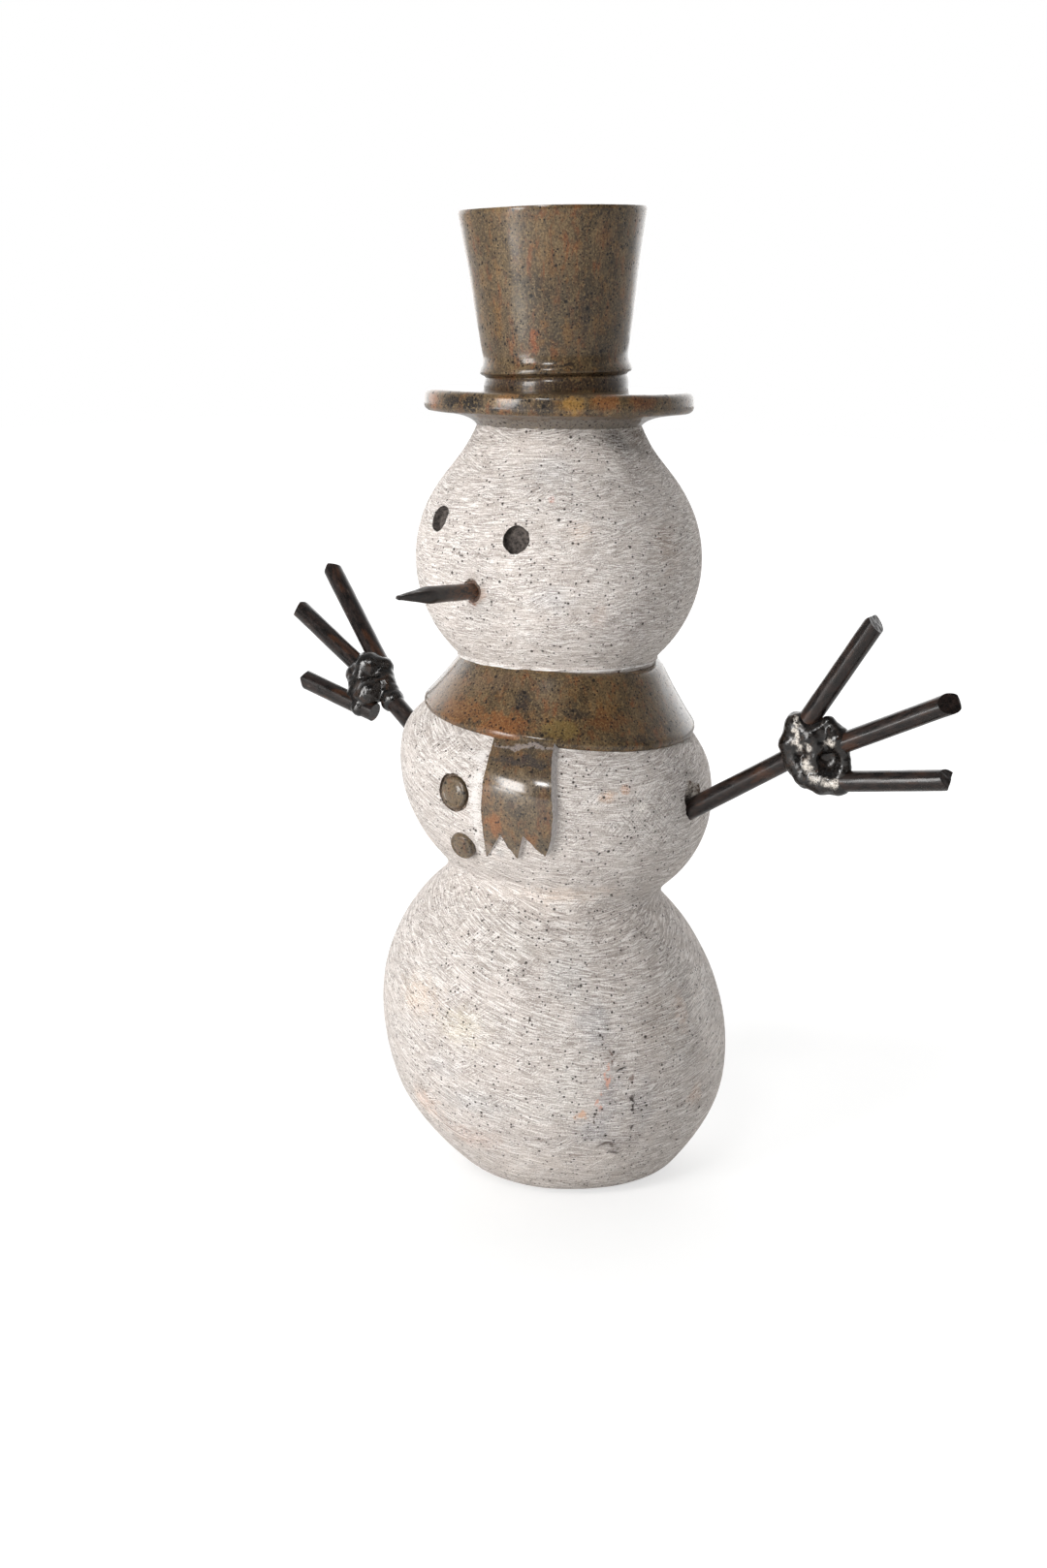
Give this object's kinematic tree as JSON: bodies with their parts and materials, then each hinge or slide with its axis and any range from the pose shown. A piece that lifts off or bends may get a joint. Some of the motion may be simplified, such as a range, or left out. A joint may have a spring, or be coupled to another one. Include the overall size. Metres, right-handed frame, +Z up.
{
  "type": "snowman figure",
  "caption": "Free-standing carved stone snowman with a top hat, scarf, buttons, a nail nose, and steel-bar arms with welded hands that turn in drilled sockets.",
  "frame": {"origin": "middle of the flat foot, on the table", "axes": "+Z up; the figure faces -Y; its own left arm points along +X"},
  "size_m": [0.2568, 0.1363, 0.3056],
  "materials": {
    "rasped_stone": "dry, scratched matte, pale grey with black specks",
    "polished_stone": "waxed and polished, mottled olive brown and rust",
    "nail_steel": "dark and lightly rusted",
    "amber_glue": "cured amber adhesive",
    "bar_steel": "hot-rolled bar under clear lacquer, brown-black",
    "weld_steel": "lumpy weld metal under lacquer, near black"
  },
  "bodies": {
    "stone": {"stone_figure": "rasped_stone", "nose_nail": "nail_steel", "nose_glue": "amber_glue"},
    "left_arm": {"left_arm_rod": "bar_steel", "left_upper_finger": "bar_steel", "left_middle_finger": "bar_steel", "left_lower_finger": "bar_steel", "left_hand_weld": "weld_steel"},
    "right_arm": {"right_arm_rod": "bar_steel", "right_upper_finger": "bar_steel", "right_middle_finger": "bar_steel", "right_lower_finger": "bar_steel", "right_hand_weld": "weld_steel"}
  },
  "joints": [
    {"name": "left_arm_swivel", "type": "hinge", "parent": "stone", "child": "left_arm", "pos_m": [0.045, 0.0012, 0.1237], "axis": [0.8626, 0.0861, 0.4985], "continuous": true},
    {"name": "right_arm_swivel", "type": "hinge", "parent": "stone", "child": "right_arm", "pos_m": [-0.0547, 0.0015, 0.1264], "axis": [-0.8107, 0.0852, 0.5793], "continuous": true}
  ]
}
